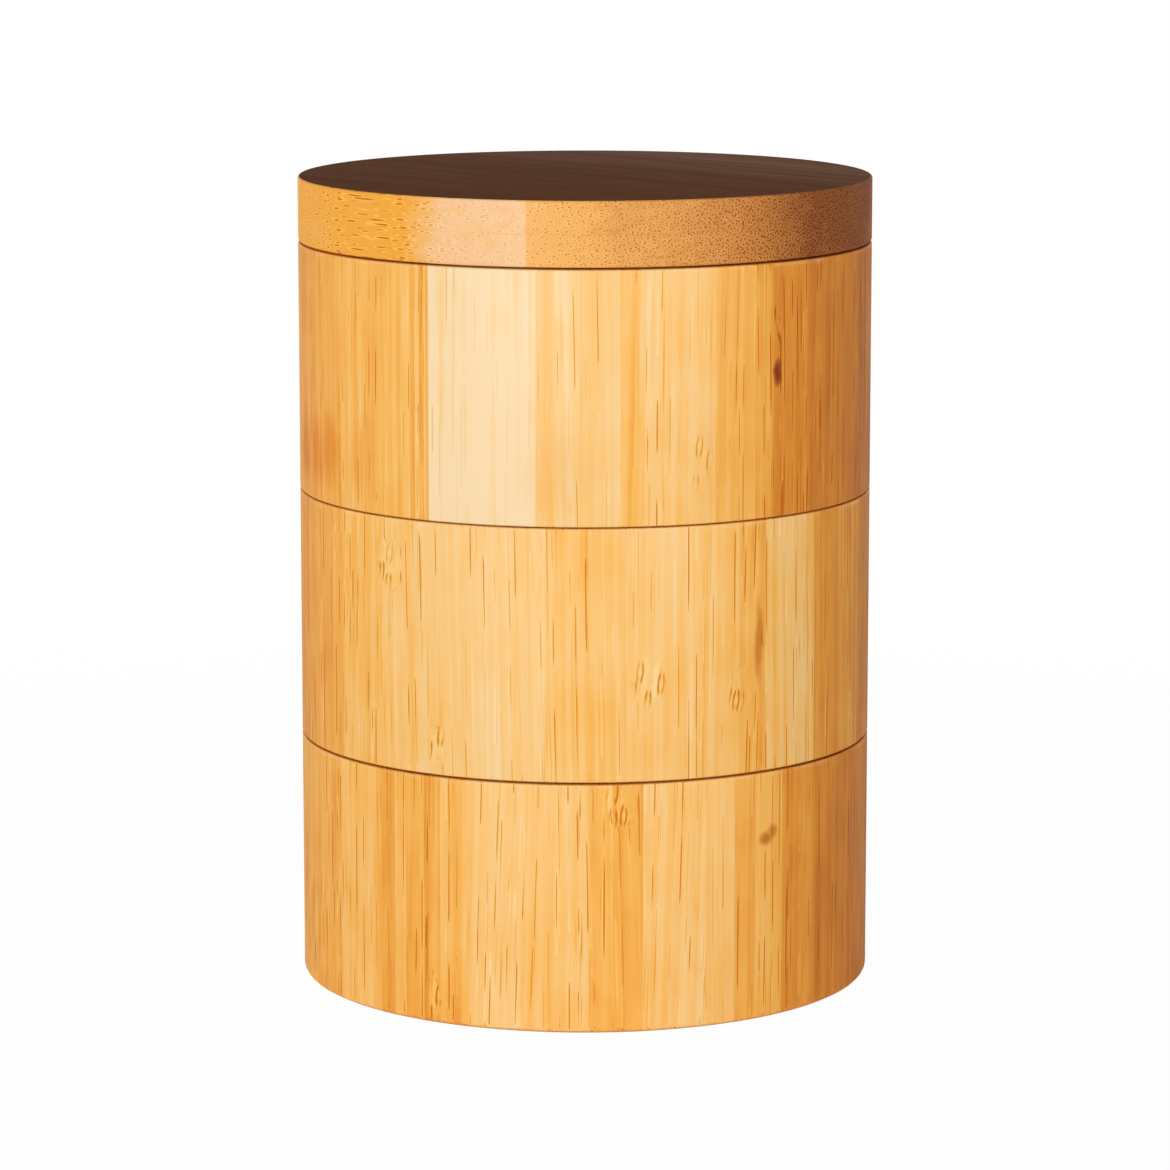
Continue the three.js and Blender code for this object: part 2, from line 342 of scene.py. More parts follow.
def strokes(tree, place, knot, lines, look):
    wide, tall = look["stroke"]
    lean = addNode(tree, "ShaderNodeMapping", {
        "Vector": place, "Rotation": (-math.pi / 2, 0, strokeShape["lean"])})
    spot = addNode(tree, "ShaderNodeVectorMath", {
        0: lean.outputs[0], 1: (1 / wide, 1 / tall, 1)}, operation="MULTIPLY").outputs[0]
    cells = addNode(tree, "ShaderNodeTexVoronoi", {
        "Vector": spot, "Scale": 1.0, "Randomness": strokeShape["scatter"]}, voronoi_dimensions="2D")
    away = cells.outputs["Distance"]
    loop = addNode(tree, "ShaderNodeMath", {0: away, 1: strokeShape["loop"]}, operation="SUBTRACT")
    loop = addNode(tree, "ShaderNodeMath", {0: loop.outputs[0]}, operation="ABSOLUTE")
    shape = addNode(tree, "ShaderNodeMapRange", {
        "Value": loop.outputs[0], "From Min": strokeShape["line"][0], "From Max": strokeShape["line"][1],
        "To Min": look["markDepth"], "To Max": strokeShape["between"]}, interpolation_type="SMOOTHSTEP")
    offset = addNode(tree, "ShaderNodeVectorMath", {
        0: spot, 1: cells.outputs["Position"]}, operation="SUBTRACT")
    sideways = addNode(tree, "ShaderNodeSeparateXYZ", {0: offset.outputs[0]})
    side = addNode(tree, "ShaderNodeMath", {0: sideways.outputs[0]}, operation="ABSOLUTE")
    flank = addNode(tree, "ShaderNodeMath", {0: side.outputs[0], 1: away}, operation="DIVIDE")
    flanks = addNode(tree, "ShaderNodeMapRange", {
        "Value": flank.outputs[0], "From Min": strokeShape["flank"][0], "From Max": strokeShape["flank"][1]})
    luck = addNode(tree, "ShaderNodeSeparateColor", {0: cells.outputs["Color"]})
    drawn = addNode(tree, "ShaderNodeMapRange", {
        "Value": luck.outputs[0], "From Min": strokeShape["drawn"][0], "From Max": strokeShape["drawn"][1]})
    for share in (drawn, flanks):
        shape = addNode(tree, "ShaderNodeMath", {
            0: shape.outputs[0], 1: share.outputs[0]}, operation="MULTIPLY")
    return addNode(tree, "ShaderNodeMix", {0: knot, 2: lines, 3: shape.outputs[0]}).outputs[0]


def bamboo(name, layup, look):
    material, tree, shader = startMaterial(name)
    coords = addNode(tree, "ShaderNodeTexCoord")
    turn = layTurn(layup["grain"], layup["ply"])
    block = addNode(tree, "ShaderNodeMapping", {
        "Vector": coords.outputs["Object"], "Rotation": turn, "Scale": (1 / mm,) * 3,
        "Location": layup["shift"]}).outputs[0]
    place = addNode(tree, "ShaderNodeSeparateXYZ", {0: block})
    facing = addNode(tree, "ShaderNodeMapping", {
        "Vector": coords.outputs["Normal"], "Rotation": turn}, vector_type="VECTOR")
    facingAxes = addNode(tree, "ShaderNodeSeparateXYZ", {0: facing.outputs[0]})
    endOn = addNode(tree, "ShaderNodeMath", {0: facingAxes.outputs[2]}, operation="ABSOLUTE")
    endGrain = addNode(tree, "ShaderNodeMapRange", {
        "Value": endOn.outputs[0], "From Min": layup["endFrom"], "From Max": layup["endTo"]},
        interpolation_type="SMOOTHSTEP").outputs[0]

    # which layer it is; round walls show their layers at the cut ends only
    layerPlace = addNode(tree, "ShaderNodeMath", {0: place.outputs[1], 1: layup["layer"]}, operation="DIVIDE")
    layerFloor = addNode(tree, "ShaderNodeMath", {0: layerPlace.outputs[0]}, operation="FLOOR")
    layerEdge = addNode(tree, "ShaderNodeMath", {0: layerPlace.outputs[0], 1: 0.5}, operation="PINGPONG")
    layerGap = addNode(tree, "ShaderNodeMath", {
        0: layerEdge.outputs[0], 1: layup["layer"]}, operation="MULTIPLY")
    layerShown = addNode(tree, "ShaderNodeMath", {
        0: endOn.outputs[0], 1: layup["layersFrom"]}, operation="GREATER_THAN")
    layerNumber = addNode(tree, "ShaderNodeMath", {
        0: layerFloor.outputs[0], 1: layerShown.outputs[0]}, operation="MULTIPLY")
    layerLine = addNode(tree, "ShaderNodeMapRange", {
        "Value": layerGap.outputs[0], "From Min": look["layerEdge"][0], "From Max": look["layerEdge"][1],
        "To Min": layup["layerLine"], "To Max": 0.0})
    glue = addNode(tree, "ShaderNodeMath", {
        0: layerLine.outputs[0], 1: layerShown.outputs[0]}, operation="MULTIPLY")

    # which strip it is; the back has the strips of the front, the other way round
    behind = addNode(tree, "ShaderNodeMath", {
        0: place.outputs[1], 1: layup["backFrom"]}, operation="GREATER_THAN")
    mirror = addNode(tree, "ShaderNodeMapRange", {"Value": behind.outputs[0], "To Min": 1.0, "To Max": -1.0})
    across = addNode(tree, "ShaderNodeMath", {
        0: place.outputs[0], 1: mirror.outputs[0]}, operation="MULTIPLY")
    reach = boxRadius / mm
    share = addNode(tree, "ShaderNodeMapRange", {
        "Value": across.outputs[0], "From Min": -reach, "From Max": reach})
    strips = addNode(tree, "ShaderNodeValToRGB", {0: share.outputs[0]})
    strips.color_ramp.interpolation = "CONSTANT"
    stops = strips.color_ramp.elements
    for number, (edge, tone, line) in enumerate(layup["strips"]):
        stop = stops[number] if number < 2 else stops.new(1.0)
        stop.position = (edge + reach) / (2 * reach)
        stop.color = (tone, tone, tone, 1.0)
        if line > 0:
            offset = addNode(tree, "ShaderNodeMath", {0: across.outputs[0], 1: edge}, operation="SUBTRACT")
            away = addNode(tree, "ShaderNodeMath", {0: offset.outputs[0]}, operation="ABSOLUTE")
            near = addNode(tree, "ShaderNodeMapRange", {
                "Value": away.outputs[0], "From Min": look["glueEdge"][0], "From Max": look["glueEdge"][1],
                "To Min": line, "To Max": 0.0})
            glue = addNode(tree, "ShaderNodeMath", {
                0: glue.outputs[0], 1: near.outputs[0]}, operation="MAXIMUM")

    # three random numbers for each strip of each layer: tone, lean and how many hair lines
    stripKey = addNode(tree, "ShaderNodeCombineXYZ", {
        0: layerNumber.outputs[0], 1: strips.outputs[0], 2: layup["seed"]})
    chance = addNode(tree, "ShaderNodeTexWhiteNoise", {"Vector": stripKey.outputs[0]}, noise_dimensions="3D")
    chances = addNode(tree, "ShaderNodeSeparateColor", {0: chance.outputs["Color"]})
    toneShift, leanChance, hairChance = chances.outputs

    # each strip has fibres of its own, which lean a little
    moved = addNode(tree, "ShaderNodeVectorMath", {
        0: chance.outputs["Color"], 1: look["stripsApart"], 2: block}, operation="MULTIPLY_ADD").outputs[0]
    lean = addNode(tree, "ShaderNodeMapRange", {
        "Value": leanChance, "To Min": -look["slant"], "To Max": look["slant"]})
    leanBy = addNode(tree, "ShaderNodeMath", {0: lean.outputs[0], 1: place.outputs[2]}, operation="MULTIPLY")
    sideways = addNode(tree, "ShaderNodeCombineXYZ", {0: leanBy.outputs[0]})
    grain = addNode(tree, "ShaderNodeVectorMath", {
        0: moved, 1: sideways.outputs[0]}, operation="ADD").outputs[0]

    # joints of the cane: fibres bend there and short strokes show
    knot = patches(tree, block, layup["marks"])
    if knot:
        bend = addNode(tree, "ShaderNodeTexNoise", {
            "Vector": stretch(tree, moved, look["bend"]), "Scale": 1.0, "Detail": 0.0})
        bendBy = addNode(tree, "ShaderNodeVectorMath", {
            0: bend.outputs["Color"], "Scale": knot}, operation="SCALE")
        grain = addNode(tree, "ShaderNodeVectorMath", {
            0: bendBy.outputs[0], 1: (look["bend"][2], look["bend"][2], 0), 2: grain},
            operation="MULTIPLY_ADD").outputs[0]

    # bundles, thicker in dark strips and at cut ends, hair lines in patches, and streaks finer than both
    inSide = addNode(tree, "ShaderNodeMapRange", {
        "Value": strips.outputs[0], "To Min": look["bundle"][1], "To Max": look["bundle"][2]})
    thick = addNode(tree, "ShaderNodeMapRange", {
        "Value": endGrain, "To Min": inSide.outputs[0], "To Max": look["bundleCut"]})
    grain = wander(tree, grain, look["sway"])
    bundle = rods(tree, grain, look["bundle"][0], thick.outputs[0], look["bundleDash"], look["bundleEven"],
                  endGrain, look["sheath"])
    hairLines = rods(tree, grain, *look["hair"], look["hairDash"], 0.0, 0.0, look["sheath"])
    groups = addNode(tree, "ShaderNodeTexNoise", {
        "Vector": stretch(tree, grain, look["cluster"]), "Scale": 1.0, "Detail": 1.0})
    manyHairs = addNode(tree, "ShaderNodeMapRange", {
        "Value": hairChance, "To Min": look["hairFull"][0], "To Max": look["hairFull"][1]})
    inGroup = addNode(tree, "ShaderNodeMapRange", {
        "Value": groups.outputs[0], "From Min": look["hairFrom"], "From Max": manyHairs.outputs[0],
        "To Min": look["hairLeast"], "To Max": 1.0})
    hair = addNode(tree, "ShaderNodeMath", {
        0: hairLines, 1: inGroup.outputs[0]}, operation="MULTIPLY").outputs[0]
    fewer, more = look["bundleSwing"]
    bundleShare = addNode(tree, "ShaderNodeMapRange", {
        "Value": groups.outputs[0], "From Min": look["bundleFrom"][0], "From Max": look["bundleFrom"][1],
        "To Min": 1 - fewer * look["grouped"], "To Max": 1 + more * look["grouped"]})
    bundle = addNode(tree, "ShaderNodeMath", {
        0: bundle, 1: bundleShare.outputs[0]}, operation="MULTIPLY").outputs[0]
    fibre = addNode(tree, "ShaderNodeTexNoise", {
        "Vector": stretch(tree, grain, look["fibre"]), "Scale": 1.0, "Detail": 3.0}).outputs[0]
    streak = addNode(tree, "ShaderNodeMapRange", {
        "Value": fibre, "To Min": -look["fibreDepth"], "To Max": look["fibreDepth"]})
    lines = streak.outputs[0]
    layers = (bundle, look["bundleDepth"]), (hair, look["hairDepth"]), (endGrain, -look["netLift"])
    for mask, amount in layers:
        lines = addNode(tree, "ShaderNodeMath", {
            0: mask, 1: amount, 2: lines}, operation="MULTIPLY_ADD").outputs[0]
    if knot:
        lines = strokes(tree, moved, knot, lines, look)

    # the tone of a strip, with its own shade and slow changes in it
    shade = addNode(tree, "ShaderNodeMapRange", {
        "Value": toneShift, "To Min": -layup["toneSpread"], "To Max": layup["toneSpread"]})
    tone = addNode(tree, "ShaderNodeMath", {
        0: strips.outputs[0], 1: shade.outputs[0]}, operation="ADD").outputs[0]
    lineShare = addNode(tree, "ShaderNodeMapRange", {
        "Value": tone, "From Min": look["lineTones"][0], "From Max": look["lineTones"][1],
        "To Min": look["paleLines"] * layup["lines"], "To Max": look["darkLines"] * layup["lines"]})
    for axis, start, end, toneChange, lineChange in layup["fades"]:
        fade = addNode(tree, "ShaderNodeMapRange", {
            "Value": place.outputs[axis], "From Min": start, "From Max": end})
        tone = addNode(tree, "ShaderNodeMath", {
            0: fade.outputs[0], 1: toneChange, 2: tone}, operation="MULTIPLY_ADD").outputs[0]
        lineShare = addNode(tree, "ShaderNodeMath", {
            0: fade.outputs[0], 1: lineChange, 2: lineShare.outputs[0]}, operation="MULTIPLY_ADD")
    uneven = wander(tree, block, look["ragged"])
    stain, warm = patches(tree, uneven, layup["stains"]), patches(tree, uneven, layup["warm"])
    if stain:
        tone = addNode(tree, "ShaderNodeMath", {
            0: stain, 1: look["stainTone"], 2: tone}, operation="MULTIPLY_ADD").outputs[0]
    calm = addNode(tree, "ShaderNodeMapRange", {
        "Value": tone, "From Min": look["calmTones"][0], "From Max": look["calmTones"][1],
        "To Min": 1.0, "To Max": look["darkCalm"]})
    for size, amount in ((look["band"], look["bandDepth"]), (look["cloud"], look["cloudDepth"])):
        slow = addNode(tree, "ShaderNodeTexNoise", {
            "Vector": stretch(tree, grain, size), "Scale": 1.0, "Detail": 2.0})
        change = addNode(tree, "ShaderNodeMapRange", {
            "Value": slow.outputs[0], "To Min": -amount, "To Max": amount})
        tone = addNode(tree, "ShaderNodeMath", {
            0: change.outputs[0], 1: calm.outputs[0], 2: tone}, operation="MULTIPLY_ADD").outputs[0]
    wood = addNode(tree, "ShaderNodeValToRGB", {0: tone})
    stops = wood.color_ramp.elements
    for number, hexColour in enumerate(look["tones"]):
        stop = stops[number] if number < 2 else stops.new(1.0)
        stop.position = number / (len(look["tones"]) - 1)
        stop.color = linear(hexColour)

    # lines and glue brown the wood, pale streaks lighten it, and cut ends are darker
    brown = addNode(tree, "ShaderNodeMath", {
        0: lines, 1: lineShare.outputs[0], 2: glue.outputs[0]}, operation="MULTIPLY_ADD")
    brown = addNode(tree, "ShaderNodeMath", {0: brown.outputs[0], 1: look["fullLine"]}, operation="MINIMUM")
    colour = addNode(tree, "ShaderNodeMix", {
        0: brown.outputs[0], 6: wood.outputs[0], 7: linear(look["brownTint"])},
        data_type="RGBA", blend_type="MULTIPLY", clamp_factor=False)
    endShare = addNode(tree, "ShaderNodeMath", {0: endGrain, 1: look["endDepth"]}, operation="MULTIPLY")
    colour = addNode(tree, "ShaderNodeMix", {
        0: endShare.outputs[0], 6: colour.outputs[2], 7: linear(look["endTint"])},
        data_type="RGBA", blend_type="MULTIPLY")

    # stains darken it, riper patches are more orange, and a painted highlight makes the upper edge pale in
    # patches
    for spots, tint in ((stain, look["stainTint"]), (warm, look["warmTint"])):
        if spots:
            colour = addNode(tree, "ShaderNodeMix", {
                0: spots, 6: colour.outputs[2], 7: linear(tint)}, data_type="RGBA", blend_type="MULTIPLY")
    # painted highlight: the rounded upper edge is lightened in patches where its rounding would catch the
    # light
    if layup["rim"]:
        deep, apart, most = look["worn"]
        edge = addNode(tree, "ShaderNodeMapRange", {
            "Value": place.outputs[2], "From Min": layup["rim"] - deep, "From Max": layup["rim"]},
            interpolation_type="SMOOTHSTEP")
        rimHighlightNoise = addNode(tree, "ShaderNodeTexNoise", {
            "Vector": stretch(tree, moved, (apart, apart)), "Scale": 1.0, "Detail": 3.0})
        rimHighlightPatches = addNode(tree, "ShaderNodeMapRange", {
            "Value": rimHighlightNoise.outputs[0], "From Min": look["wornFrom"][0], "From Max": look["wornFrom"][1],
            "To Max": most})
        worn = addNode(tree, "ShaderNodeMath", {
            0: edge.outputs[0], 1: rimHighlightPatches.outputs[0]}, operation="MULTIPLY")
        rimHighlightOffEnds = addNode(tree, "ShaderNodeMapRange", {
            "Value": endGrain, "To Min": worn.outputs[0], "To Max": 0.0})
        colour = addNode(tree, "ShaderNodeMix", {
            0: rimHighlightOffEnds.outputs[0], 6: colour.outputs[2], 7: linear(look["wornTint"])}, data_type="RGBA")

    # bundles and glue lines lie a hair below the sanded surface
    low = addNode(tree, "ShaderNodeMath", {0: bundle, 1: glue.outputs[0]}, operation="MAXIMUM")
    height = addNode(tree, "ShaderNodeMath", {0: fibre, 1: low.outputs[0]}, operation="SUBTRACT")
    bump = addNode(tree, "ShaderNodeBump", {
        "Height": height.outputs[0], "Strength": look["bumpStrength"], "Distance": look["bumpHeight"]})
    sheen = addNode(tree, "ShaderNodeMapRange", {
        "Value": low.outputs[0], "To Min": look["roughness"],
        "To Max": look["roughness"] + look["dullLines"]})
    tree.links.new(colour.outputs[2], shader.inputs["Base Color"])
    tree.links.new(sheen.outputs[0], shader.inputs["Roughness"])
    tree.links.new(bump.outputs[0], shader.inputs["Normal"])
    shader.inputs["Specular IOR Level"].default_value = look["specular"]
    return material


# How a block is glued up, in mm. Strips run from left to right, each (left edge, tone from 0 pale to 1 dark,
# glue line at its left edge). Marks, stains and warm patches are spots for patches()
upright = dict(
    grain=(0, 0, 1), ply=(0, 1, 0), shift=(0, 0, 0),
    layer=6.2, layerLine=0.4,     # thickness of the layers and strength of the glue line between them
    layersFrom=0.7,               # how far a face turns to the end before they show
    backFrom=0.0,                 # depth at which the mirrored strips of the back start
    endFrom=0.5, endTo=0.97,      # how far a face turns to the end from no end grain to all
    toneSpread=0.02, lines=1.0,   # chance in a strip's tone, and strength of its lines
    fades=[],                     # each (axis, start, end, change of tone, change of lines)
    stains=[], warm=[], rim=None,
)
tierLayup = {
    "bottom_tier": dict(
        upright, seed=3.1, backFrom=12.0, lines=1.1,
        stains=[(28.1, -34.8, 28.4, 1.4, 1.5, 0.5), (29.1, -34.0, 29.4, 1.1, 1.5, 0.42)],
        strips=[(-45, 0.61, 0), (-41, 0.6, 0), (-38, 0.5, 0.2), (-33, 0.48, 0), (-31.6, 0.74, 0),
                (-29.4, 0.5, 0), (-27.6, 0.61, 0), (-25.6, 0.5, 0), (-24.7, 0.72, 0), (-24.2, 0.55, 0),
                (-22.2, 0.51, 0.2), (-18, 0.34, 0), (-7, 0.4, 0), (0.7, 0.49, 0.15), (4, 0.57, 0),
                (8.6, 0.36, 0.15), (18, 0.4, 0), (22.8, 0.58, 0.2), (26, 0.55, 0), (29.9, 0.79, 0.2),
                (35.3, 0.88, 0.2)],
        marks=[(5.5, -44.7, 35.6, 3.0, 4.5, 0.8), (-23.4, -38.5, 4.0, 1.8, 5.0, 0.8)]),
    "middle_tier": dict(
        upright, seed=7.7, backFrom=23.0, lines=1.3, stains=[(26.8, -36.4, 59.0, 0.9, 9.0, 0.4)],
        strips=[(-45, 0.74, 0), (-42, 0.63, 0.2), (-37.5, 0.43, 0), (-31, 0.33, 0), (-25.9, 0.26, 0.2),
                (-6, 0.38, 0), (6, 0.32, 0.15), (17, 0.39, 0), (23.5, 0.55, 0.2), (27.4, 0.38, 0.2),
                (34.9, 0.76, 0.2), (42.4, 0.84, 0.2)],
        marks=[(9.7, -43.9, 54.7, 3.2, 5.0, 1.0), (23.5, -38.4, 52.0, 2.4, 5.0, 0.8),
               (-29.7, -33.8, 71.0, 3.0, 5.0, 0.7), (-22.5, -38.9, 43.5, 1.6, 4.0, 0.8)]),
    "top_tier": dict(
        upright, seed=5.3, backFrom=4.0, lines=0.85,
        stains=[(29.5, -34, 100.1, 0.9, 2.6, 1.0)],
        warm=[(-43.5, -11.5, 86, 6, 8, 0.9), (-41.6, -17.2, 86, 6, 8, 0.9), (-39.4, -21.7, 86.5, 6, 8, 0.9),
              (-34, -29.5, 87, 6, 10, 0.35), (-3.8, -44.8, 86, 9, 9, 0.25), (19.8, -40.4, 87, 5, 12, 0.25)],
        strips=[(-45, 0.67, 0), (-41.6, 0.63, 0.2), (-37.5, 0.55, 0), (-34, 0.54, 0), (-31, 0.45, 0),
                (-27.6, 0.5, 0), (-26.4, 0.66, 0), (-26, 0.37, 0), (-25, 0.68, 0), (-24.6, 0.38, 0),
                (-24.2, 0.58, 0), (-23.8, 0.0, 0.3), (-7.5, 0.27, 0), (-4.6, 0.14, 0), (-0.8, 0.25, 0.1),
                (5.2, 0.43, 0), (8, 0.32, 0), (12.5, 0.35, 0.1), (19.6, 0.54, 0.2), (25.5, 0.67, 0),
                (28.2, 0.88, 0.2), (29.6, 0.86, 0), (33.5, 0.89, 0), (36, 0.88, 0), (42, 0.94, 0.3)],
        marks=[(28.9, -34.6, 107.5, 1.2, 4.0, 0.8), (17.2, -41.6, 88.0, 2.5, 6.0, 0.5)]),
}
tierBamboo = {}
for tier, layup in tierLayup.items():
    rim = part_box(tier + "_wall")[1].z / mm
    tierBamboo[tier] = bamboo("upright_bamboo_" + tier, dict(layup, rim=rim), bambooLook)

# Flat blocks show their layers on every side, and have no back
flat = dict(upright, ply=(0, 0, 1), layersFrom=-1.0, backFrom=500.0, marks=[])
floorBamboo = bamboo("flat_bamboo_floor", dict(
    flat, grain=(1, 0, 0), layer=60.0, seed=9.2,
    strips=[(-45, 0.52, 0), (-29, 0.37, 0.3), (-13, 0.5, 0.3), (3, 0.4, 0.3), (18, 0.52, 0.3),
            (33, 0.33, 0.3)]), bambooLook)

# The lid is two flat layers of one tone, which fades along and across the grain; the fades darken it towards
# its right end, partly for the end grain there and partly as painted shade. The grain runs from the back left
# to the front right, so its edge shows dashes at the left and cut dots from the middle on
lidLow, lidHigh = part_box("lid_panel")[0].z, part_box("lid_panel")[1].z
lidGrain = dict(turn=44.0, layer=5.6 * mm)
lidTurn = math.radians(lidGrain["turn"])
lidLayup = dict(
    flat, grain=(math.sin(lidTurn), -math.cos(lidTurn), 0), layer=lidGrain["layer"] / mm, seed=4.4,
    shift=(0, -(lidLow + lidHigh) / 2 / mm, 0), layerLine=0.15, toneSpread=0.02, endFrom=0.2,
    strips=[(-45, 0.11, 0), (45, 0.11, 0)],
    # the fades that darken the right end stand partly for end grain and partly for painted shade
    fades=[(2, 6, 14, 0.26, -0.6), (0, -37.1, -36.9, 0.125, 0.2), (0, -36.9, -34.5, 0.08, 0.1),
           (0, -34.5, -27.7, 0.145, 0.1), (0, -24, -6.5, 0.16, 0), (0, -6.5, 5, 0.12, 0), (0, -20, 9, 0, 1.9),
           (0, 24, 40, -0.22, -1.7), (2, -22, -38, -0.12, -0.4)])
lidLook = dict(
    bambooLook,
    tones=["#eba33b", "#eba33b", "#ecb062", "#edbe8c", "#eaab5e", "#e3a252", "#d08b40", "#b26a28", "#7c3d12"],
    bundle=(0.56, 0.18, 0.18), bundleCut=0.23, bundleDash=5.0, bundleEven=0.5, sheath=0.6,
    hair=(0.45, 0.13), hairDash=8.0, grouped=0.15,
    paleLines=0.95, darkLines=0.95, bundleDepth=1.8, hairDepth=1.2, netLift=0.4, fullLine=1.6,
    endDepth=0.0, bandDepth=0.1, cloudDepth=0.08, specular=0.18, roughness=0.5,
)
lidBamboo = bamboo("flat_bamboo_lid", lidLayup, lidLook)

# The lid's top face: the same bamboo painted dark brown as shade, for a top the lamps reach only faintly;
# sanded and left dull, so only faint streaks show
shadedTopLook = dict(
    lidLook,
    tones=["#9c745a", "#8e634a", "#82573e", "#794e34", "#72482f", "#6a412a", "#543423"], brownTint="#d8b494",
    bundleDepth=0.5, hairDepth=0.6, netLift=0.0, cloud=(4.0, 70.0), bandDepth=0.22, cloudDepth=0.34,
    roughness=0.8, specular=0.02,
)
# The top face is painted lighter towards the right as a painted sheen, over the painted shade
lidShadedTop = bamboo("carbonised_bamboo_lid", dict(
    lidLayup, fades=[(0, 0, 34, -0.42, 0)],
    strips=[(-45, 0.55, 0), (-22, 0.5, 0.1), (-2, 0.55, 0.1), (20, 0.5, 0.1)]), shadedTopLook)
print("bamboo made")


# Metals: fine lines round the axis from the tool or the drawing die, which spread the gloss along them
toolLines = dict(
    stretched=20,       # length of a line in widths
    dull=(-0.08, 0.12),  # change of roughness, and share of the colour, in the lines and between them
    tint=(0.86, 1.06),
)


def metal(name, hexColour, roughness, lineWidth):
    material, tree, shader = startMaterial(name)
    coords = addNode(tree, "ShaderNodeTexCoord")
    sideways = 1 / lineWidth / toolLines["stretched"]
    lines = addNode(tree, "ShaderNodeMapping", {
        "Vector": coords.outputs["Object"], "Scale": (sideways, sideways, 1 / lineWidth)})
    drawn = addNode(tree, "ShaderNodeTexNoise", {"Vector": lines.outputs[0], "Scale": 1.0, "Detail": 3.0})
    dull = addNode(tree, "ShaderNodeMapRange", {
        "Value": drawn.outputs[0], "To Min": roughness + toolLines["dull"][0],
        "To Max": roughness + toolLines["dull"][1]})
    tint = addNode(tree, "ShaderNodeMapRange", {
        "Value": drawn.outputs[0], "To Min": toolLines["tint"][0], "To Max": toolLines["tint"][1]})
    colour = addNode(tree, "ShaderNodeMix", {0: 1.0, 6: linear(hexColour), 7: tint.outputs[0]},
                     data_type="RGBA", blend_type="MULTIPLY")
    tree.links.new(colour.outputs[2], shader.inputs["Base Color"])
    tree.links.new(dull.outputs[0], shader.inputs["Roughness"])
    shader.inputs["Metallic"].default_value = 1.0
    return material


steel = metal("turned_steel", "#b9bbbd", 0.34, 0.12 * mm)     # rod, nut and spring washer, greyish satin
nickel = metal("nickel_plate", "#cfccc4", 0.22, 0.2 * mm)     # magnets, bright with a faint warm haze
brass = metal("machined_brass", "#d2a548", 0.32, 0.12 * mm)   # bushes and insert, yellow with tool lines

# Natural nylon, moulded: milky and dull, with the faint clouding of the melt and the mould's fine grain
nylonLook = dict(milky="#efece2", cloudy="#e0dbcc", cloudSize=1.2 * mm, grit=0.08 * mm,
                 roughness=(0.4, 0.6), bumpStrength=0.2, bumpHeight=0.01 * mm)
nylon, nylonTree, nylonShader = startMaterial("moulded_nylon")
nylonPlace = addNode(nylonTree, "ShaderNodeTexCoord")
melt = addNode(nylonTree, "ShaderNodeTexNoise", {
    "Vector": nylonPlace.outputs["Object"], "Scale": 1 / nylonLook["cloudSize"], "Detail": 2.0})
mouldGrain = addNode(nylonTree, "ShaderNodeTexNoise", {
    "Vector": nylonPlace.outputs["Object"], "Scale": 1 / nylonLook["grit"], "Detail": 1.0})
nylonColour = addNode(nylonTree, "ShaderNodeMix", {
    0: melt.outputs[0], 6: linear(nylonLook["milky"]), 7: linear(nylonLook["cloudy"])}, data_type="RGBA")
nylonDull = addNode(nylonTree, "ShaderNodeMapRange", {
    "Value": mouldGrain.outputs[0],
    "To Min": nylonLook["roughness"][0], "To Max": nylonLook["roughness"][1]})
nylonBump = addNode(nylonTree, "ShaderNodeBump", {
    "Height": mouldGrain.outputs[0], "Strength": nylonLook["bumpStrength"],
    "Distance": nylonLook["bumpHeight"]})
nylonTree.links.new(nylonColour.outputs[2], nylonShader.inputs["Base Color"])
nylonTree.links.new(nylonDull.outputs[0], nylonShader.inputs["Roughness"])
nylonTree.links.new(nylonBump.outputs[0], nylonShader.inputs["Normal"])

# Tier walls: turned rings with a ledge for the floor, and pockets in their rims
ring = dict(cavityRadius=33.5 * mm, seatRadius=34.5 * mm, ledge=6.1 * mm, footRounding=1.2 * mm,
            rimRounding=0.35 * mm, rise=dict(zip(tierNames, (0.05 * mm, 0.18 * mm, 0.05 * mm))),
            sides=256, roundingSegments=5)
pocket = dict(bush=2.95 * mm, washer=4.1 * mm, washerDepth=0.6 * mm, magnet=3.1 * mm, magnetDepth=3.1 * mm,
              nut=3.4 * mm, nutDepth=5.8 * mm, insert=3.1 * mm, insertDepth=7.3 * mm, past=1.0 * mm)


